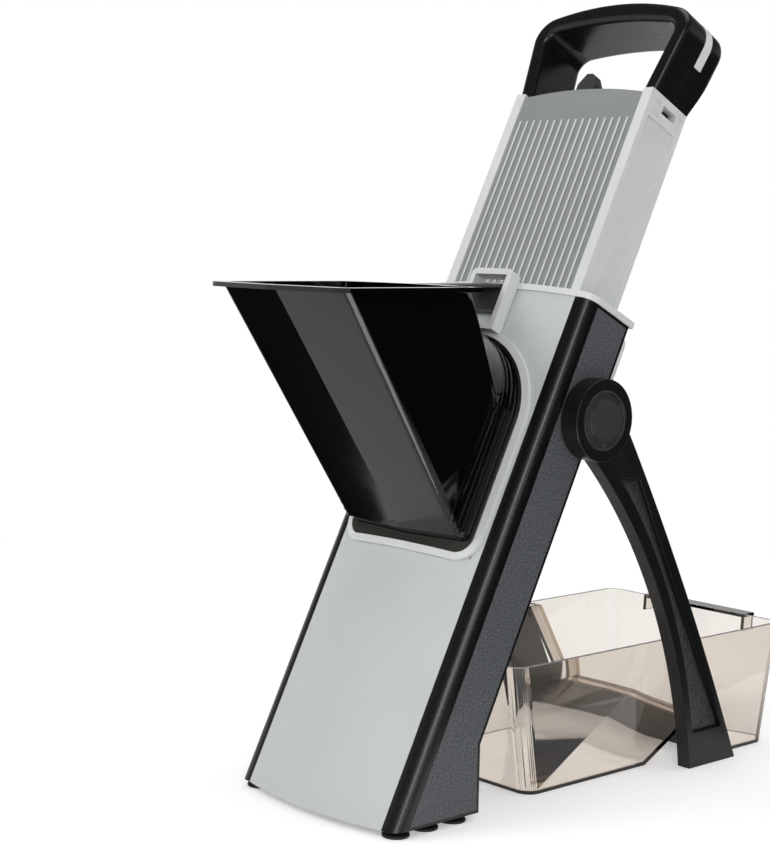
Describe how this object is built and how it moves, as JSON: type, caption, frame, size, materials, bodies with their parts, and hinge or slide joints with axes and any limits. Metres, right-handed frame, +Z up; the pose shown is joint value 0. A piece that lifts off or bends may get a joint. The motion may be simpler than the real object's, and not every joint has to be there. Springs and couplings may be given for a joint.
{
  "type": "mandoline slicer",
  "caption": "Upright push-down vegetable slicer: sprung blade carriage in a leaning tower with a feed hopper, rear thickness and julienne dials, folding stand and clear catch container.",
  "frame": {"origin": "on the table, at the middle of the slicer's length and width", "axes": "+Z up; +Y from the hopper at the front to the catch container at the back; +X across, to the right seen from the front"},
  "size_m": [0.1382, 0.3216, 0.3934],
  "materials": {
    "panel_grey": "satin light grey moulding",
    "light_grey": "pale grey satin moulding",
    "rib_grey": "mid grey satin moulding",
    "shell_black": "charcoal, fine grain",
    "inner_black": "plain black moulding",
    "knob_black": "satin black",
    "grip_black": "soft satin black",
    "leg_black": "black, fine grain",
    "chute_black": "polished black",
    "seal_dark": "soft glossy dark seal",
    "foot_rubber": "black rubber",
    "inlay_silver": "pale silver",
    "blade_steel": "ground stainless steel",
    "spring_steel": "spring wire",
    "screw_steel": "plain steel",
    "smoke_clear": "clear smoke-tinted plastic"
  },
  "bodies": {
    "tower": {"front_panel": "panel_grey", "chute_frame": "light_grey", "left_side_shell": "shell_black", "right_side_shell": "shell_black", "top_collar": "light_grey", "base_plate": "inner_black", "rear_bridge": "light_grey", "bridge_screws": "screw_steel", "left_guide_rail": "inner_black", "right_guide_rail": "inner_black", "left_spring_rod": "blade_steel", "right_spring_rod": "blade_steel", "left_return_spring": "spring_steel", "right_return_spring": "spring_steel", "suction_feet": "foot_rubber", "left_pivot_pin": "inner_black", "right_pivot_pin": "inner_black"},
    "carriage": {"carriage_frame": "light_grey", "landing_plate": "rib_grey", "blade_holder": "inner_black", "slicing_blade": "blade_steel", "mechanism_cover": "light_grey", "handle_front_half": "grip_black", "handle_rear_half": "grip_black", "left_handle_inlay": "inlay_silver", "right_handle_inlay": "inlay_silver"},
    "runway": {"runway_plate": "rib_grey"},
    "thickness_knob": {"thickness_dial": "knob_black"},
    "comb": {"julienne_comb": "blade_steel"},
    "julienne_knob": {"julienne_dial": "knob_black"},
    "lock": {"lock_slider": "knob_black"},
    "stand": {"left_leg": "leg_black", "right_leg": "leg_black", "left_pivot_cap": "knob_black", "right_pivot_cap": "knob_black", "stand_crossbar": "leg_black"},
    "container": {"catch_container": "smoke_clear"},
    "chute": {"feed_chute": "chute_black", "chute_seal": "seal_dark", "chute_latch": "knob_black"}
  },
  "joints": [
    {"name": "carriage_slide", "type": "slide", "parent": "tower", "child": "carriage", "axis": [0, -0.4446, -0.8957], "range_m": [0, 0.112], "stiffness_N_per_m": 60, "springref_m": -0.15, "deforming": ["left_return_spring", "right_return_spring"]},
    {"name": "thickness_dial_turn", "type": "hinge", "parent": "carriage", "child": "thickness_knob", "pos_m": [0.02, 0.04583, 0.29121], "axis": [0, 0.8957, -0.4446], "range_deg": [0, 270]},
    {"name": "runway_slide", "type": "slide", "parent": "carriage", "child": "runway", "axis": [0, 0.8957, -0.4446], "range_m": [0, 0.007]},
    {"name": "julienne_dial_turn", "type": "hinge", "parent": "carriage", "child": "julienne_knob", "pos_m": [-0.02, 0.04583, 0.29121], "axis": [0, 0.8957, -0.4446], "range_deg": [0, 270]},
    {"name": "comb_slide", "type": "slide", "parent": "runway", "child": "comb", "axis": [0, -0.8957, 0.4446], "range_m": [0, 0.0034]},
    {"name": "lock_slide", "type": "slide", "parent": "carriage", "child": "lock", "axis": [1, 0, 0], "range_m": [0, 0.008]},
    {"name": "stand_fold", "type": "hinge", "parent": "tower", "child": "stand", "pos_m": [0, -0.00672, 0.18534], "axis": [-1, 0, 0], "range_deg": [0, 44]},
    {"name": "container_lift", "type": "slide", "parent": "tower", "child": "container", "axis": [0, 0.7071, 0.7071], "range_m": [0, 0.25]},
    {"name": "chute_pull", "type": "slide", "parent": "tower", "child": "chute", "axis": [0, -0.8957, 0.4446], "range_m": [0, 0.06]}
  ],
  "couplings": [
    {"joint": "thickness_dial_turn", "follows": "runway_slide", "rad_per_m": 673.13},
    {"joint": "julienne_dial_turn", "follows": "comb_slide", "rad_per_m": 1385.9}
  ]
}
